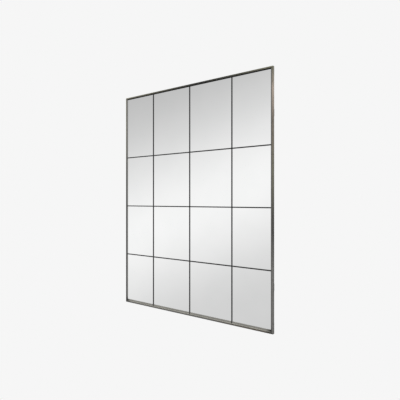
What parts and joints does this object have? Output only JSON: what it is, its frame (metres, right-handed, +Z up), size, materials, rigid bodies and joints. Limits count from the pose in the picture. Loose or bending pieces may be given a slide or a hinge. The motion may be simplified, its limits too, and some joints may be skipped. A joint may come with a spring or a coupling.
{
  "type": "window mirror",
  "caption": "Large rectangular wall mirror with a slim aged-metal frame and thin dark glazing bars that divide one mirror sheet into window panes, with ring hangers behind.",
  "frame": {"origin": "middle of the wall plane that the bumpers touch", "axes": "+X to the right and +Z up as seen from the front, +Y into the wall"},
  "size_m": [1.2, 0.026, 1.5],
  "materials": {
    "frame_metal": "aged pewter patina, brushed along the bars",
    "bar_metal": "satin dark grey",
    "mirror": "silvered float glass",
    "setting_rubber": "matt",
    "foam_tape": "matt foam",
    "board": "raw fibreboard, sealed",
    "rail_paint": "satin black",
    "zinc": "bright zinc plate",
    "bumper_rubber": "matt"
  },
  "bodies": {
    "mirror": {"backing_board": "board", "bead_bottom": "bar_metal", "bead_left": "bar_metal", "bead_right": "bar_metal", "bead_top": "bar_metal", "corner_plate_bottom_left": "zinc", "corner_plate_bottom_right": "zinc", "corner_plate_screws": "zinc", "corner_plate_top_left": "zinc", "corner_plate_top_right": "zinc", "frame_bottom_rail": "frame_metal", "frame_left_stile": "frame_metal", "frame_right_stile": "frame_metal", "frame_top_rail": "frame_metal", "hanger_screws": "zinc", "hanger_strap_left": "zinc", "hanger_strap_right": "zinc", "hanging_rail": "rail_paint", "level_bar_lower": "bar_metal", "level_bar_middle": "bar_metal", "level_bar_sill": "bar_metal", "level_bar_upper": "bar_metal", "lower_rail": "rail_paint", "mirror_sheet": "mirror", "mounting_tape_1": "foam_tape", "mounting_tape_2": "foam_tape", "mounting_tape_3": "foam_tape", "mounting_tape_4": "foam_tape", "rail_screws": "zinc", "setting_block_left": "setting_rubber", "setting_block_right": "setting_rubber", "turn_button_screws": "zinc", "upright_bar_left": "bar_metal", "upright_bar_middle": "bar_metal", "upright_bar_right": "bar_metal", "wall_bumper_bottom_left": "bumper_rubber", "wall_bumper_bottom_right": "bumper_rubber", "wall_bumper_top_left": "bumper_rubber", "wall_bumper_top_right": "bumper_rubber"},
    "hanger_ring_left": {"hanger_ring_left": "zinc"},
    "hanger_ring_right": {"hanger_ring_right": "zinc"},
    "turn_button_bottom_1": {"turn_button_bottom_1": "zinc"},
    "turn_button_bottom_2": {"turn_button_bottom_2": "zinc"},
    "turn_button_left_1": {"turn_button_left_1": "zinc"},
    "turn_button_left_2": {"turn_button_left_2": "zinc"},
    "turn_button_left_3": {"turn_button_left_3": "zinc"},
    "turn_button_right_1": {"turn_button_right_1": "zinc"},
    "turn_button_right_2": {"turn_button_right_2": "zinc"},
    "turn_button_right_3": {"turn_button_right_3": "zinc"},
    "turn_button_top_1": {"turn_button_top_1": "zinc"},
    "turn_button_top_2": {"turn_button_top_2": "zinc"}
  },
  "joints": [
    {"name": "turn_button_bottom_1_pivot", "type": "hinge", "parent": "mirror", "child": "turn_button_bottom_1", "pos_m": [0.24, -0.011, -0.746], "axis": [0, 1, 0], "continuous": true},
    {"name": "turn_button_bottom_2_pivot", "type": "hinge", "parent": "mirror", "child": "turn_button_bottom_2", "pos_m": [-0.24, -0.011, -0.746], "axis": [0, 1, 0], "continuous": true},
    {"name": "turn_button_left_1_pivot", "type": "hinge", "parent": "mirror", "child": "turn_button_left_1", "pos_m": [-0.596, -0.011, -0.57], "axis": [0, 1, 0], "continuous": true},
    {"name": "turn_button_left_2_pivot", "type": "hinge", "parent": "mirror", "child": "turn_button_left_2", "pos_m": [-0.596, -0.011, 0], "axis": [0, 1, 0], "continuous": true},
    {"name": "turn_button_left_3_pivot", "type": "hinge", "parent": "mirror", "child": "turn_button_left_3", "pos_m": [-0.596, -0.011, 0.57], "axis": [0, 1, 0], "continuous": true},
    {"name": "turn_button_right_1_pivot", "type": "hinge", "parent": "mirror", "child": "turn_button_right_1", "pos_m": [0.596, -0.011, 0.57], "axis": [0, 1, 0], "continuous": true},
    {"name": "turn_button_right_2_pivot", "type": "hinge", "parent": "mirror", "child": "turn_button_right_2", "pos_m": [0.596, -0.011, 0], "axis": [0, 1, 0], "continuous": true},
    {"name": "turn_button_right_3_pivot", "type": "hinge", "parent": "mirror", "child": "turn_button_right_3", "pos_m": [0.596, -0.011, -0.57], "axis": [0, 1, 0], "continuous": true},
    {"name": "turn_button_top_1_pivot", "type": "hinge", "parent": "mirror", "child": "turn_button_top_1", "pos_m": [-0.24, -0.011, 0.746], "axis": [0, 1, 0], "continuous": true},
    {"name": "turn_button_top_2_pivot", "type": "hinge", "parent": "mirror", "child": "turn_button_top_2", "pos_m": [0.24, -0.011, 0.746], "axis": [0, 1, 0], "continuous": true},
    {"name": "hanger_ring_left_swing", "type": "hinge", "parent": "mirror", "child": "hanger_ring_left", "pos_m": [-0.38, -0.00495, 0.50597], "axis": [-1, 0, 0], "range_deg": [-10, 175]},
    {"name": "hanger_ring_right_swing", "type": "hinge", "parent": "mirror", "child": "hanger_ring_right", "pos_m": [0.38, -0.00495, 0.50597], "axis": [-1, 0, 0], "range_deg": [-10, 175]}
  ]
}
